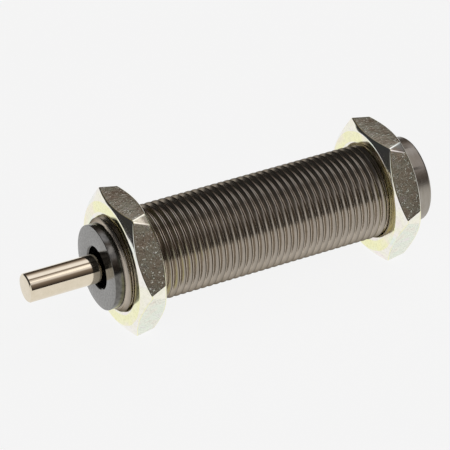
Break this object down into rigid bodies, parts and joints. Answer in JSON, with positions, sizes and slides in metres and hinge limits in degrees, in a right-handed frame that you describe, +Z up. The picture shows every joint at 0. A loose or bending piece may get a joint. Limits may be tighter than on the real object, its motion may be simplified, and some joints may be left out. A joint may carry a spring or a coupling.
{
  "type": "industrial shock absorber",
  "caption": "Threaded hydraulic shock absorber with a spring-returned polished rod, a black stop collar and hexagon lock nuts for fixing it in a bracket.",
  "frame": {"origin": "on the cylinder's axis, in the plane of the front collar's face, which is the fixed end stop", "axes": "+X along the axis from the rod end to the rear head, +Z up with the nuts lying on a flat, +Y to the left seen from the rod end"},
  "size_m": [0.0885, 0.0308, 0.027],
  "materials": {
    "body_steel": "dark taupe grey steel, satin turned, with a fine rolled thread",
    "black_steel": "glossy black oxide",
    "rod_steel": "ground and polished hardened steel, warm silver",
    "zinc_plate": "zinc plate with a pale yellow iridescent passivation, flats slightly rough",
    "inner_steel": "turned steel, oiled",
    "bearing_bronze": "turned bearing bronze",
    "ring_bronze": "lapped bronze",
    "spring_steel": "drawn spring wire, oiled",
    "seal_rubber": "black nitrile rubber",
    "seal_copper": "soft copper",
    "foam": "dark closed-cell foam"
  },
  "bodies": {
    "cylinder": {"body": "body_steel", "front_collar": "black_steel", "rod_wiper": "seal_rubber", "seal_washer": "inner_steel", "rod_seal": "seal_rubber", "rod_bearing": "bearing_bronze", "bearing_seal": "seal_rubber", "accumulator_foam": "foam", "pressure_tube": "inner_steel", "tube_base": "inner_steel", "return_spring": "spring_steel", "fill_plug": "black_steel", "plug_seal": "seal_copper"},
    "rod": {"piston_rod": "rod_steel", "valve_plate": "inner_steel", "piston": "inner_steel", "spring_seat": "inner_steel", "piston_nut": "inner_steel"},
    "check_valve": {"check_ring": "ring_bronze"},
    "front_lock_nut": {"front_nut": "zinc_plate"},
    "rear_lock_nut": {"rear_nut": "zinc_plate"}
  },
  "joints": [
    {"name": "rod_stroke", "type": "slide", "parent": "cylinder", "child": "rod", "axis": [1, 0, 0], "range_m": [0, 0.015], "stiffness_N_per_m": 1310, "springref_m": -0.0072, "deforming": ["return_spring"]},
    {"name": "check_ring_float", "type": "slide", "parent": "rod", "child": "check_valve", "axis": [1, 0, 0], "range_m": [0, 0.00045]},
    {"name": "front_nut_travel", "type": "slide", "parent": "cylinder", "child": "front_lock_nut", "axis": [1, 0, 0], "range_m": [-0.0015, 0.024]},
    {"name": "rear_nut_travel", "type": "slide", "parent": "cylinder", "child": "rear_lock_nut", "axis": [1, 0, 0], "range_m": [-0.0255, 0]}
  ]
}
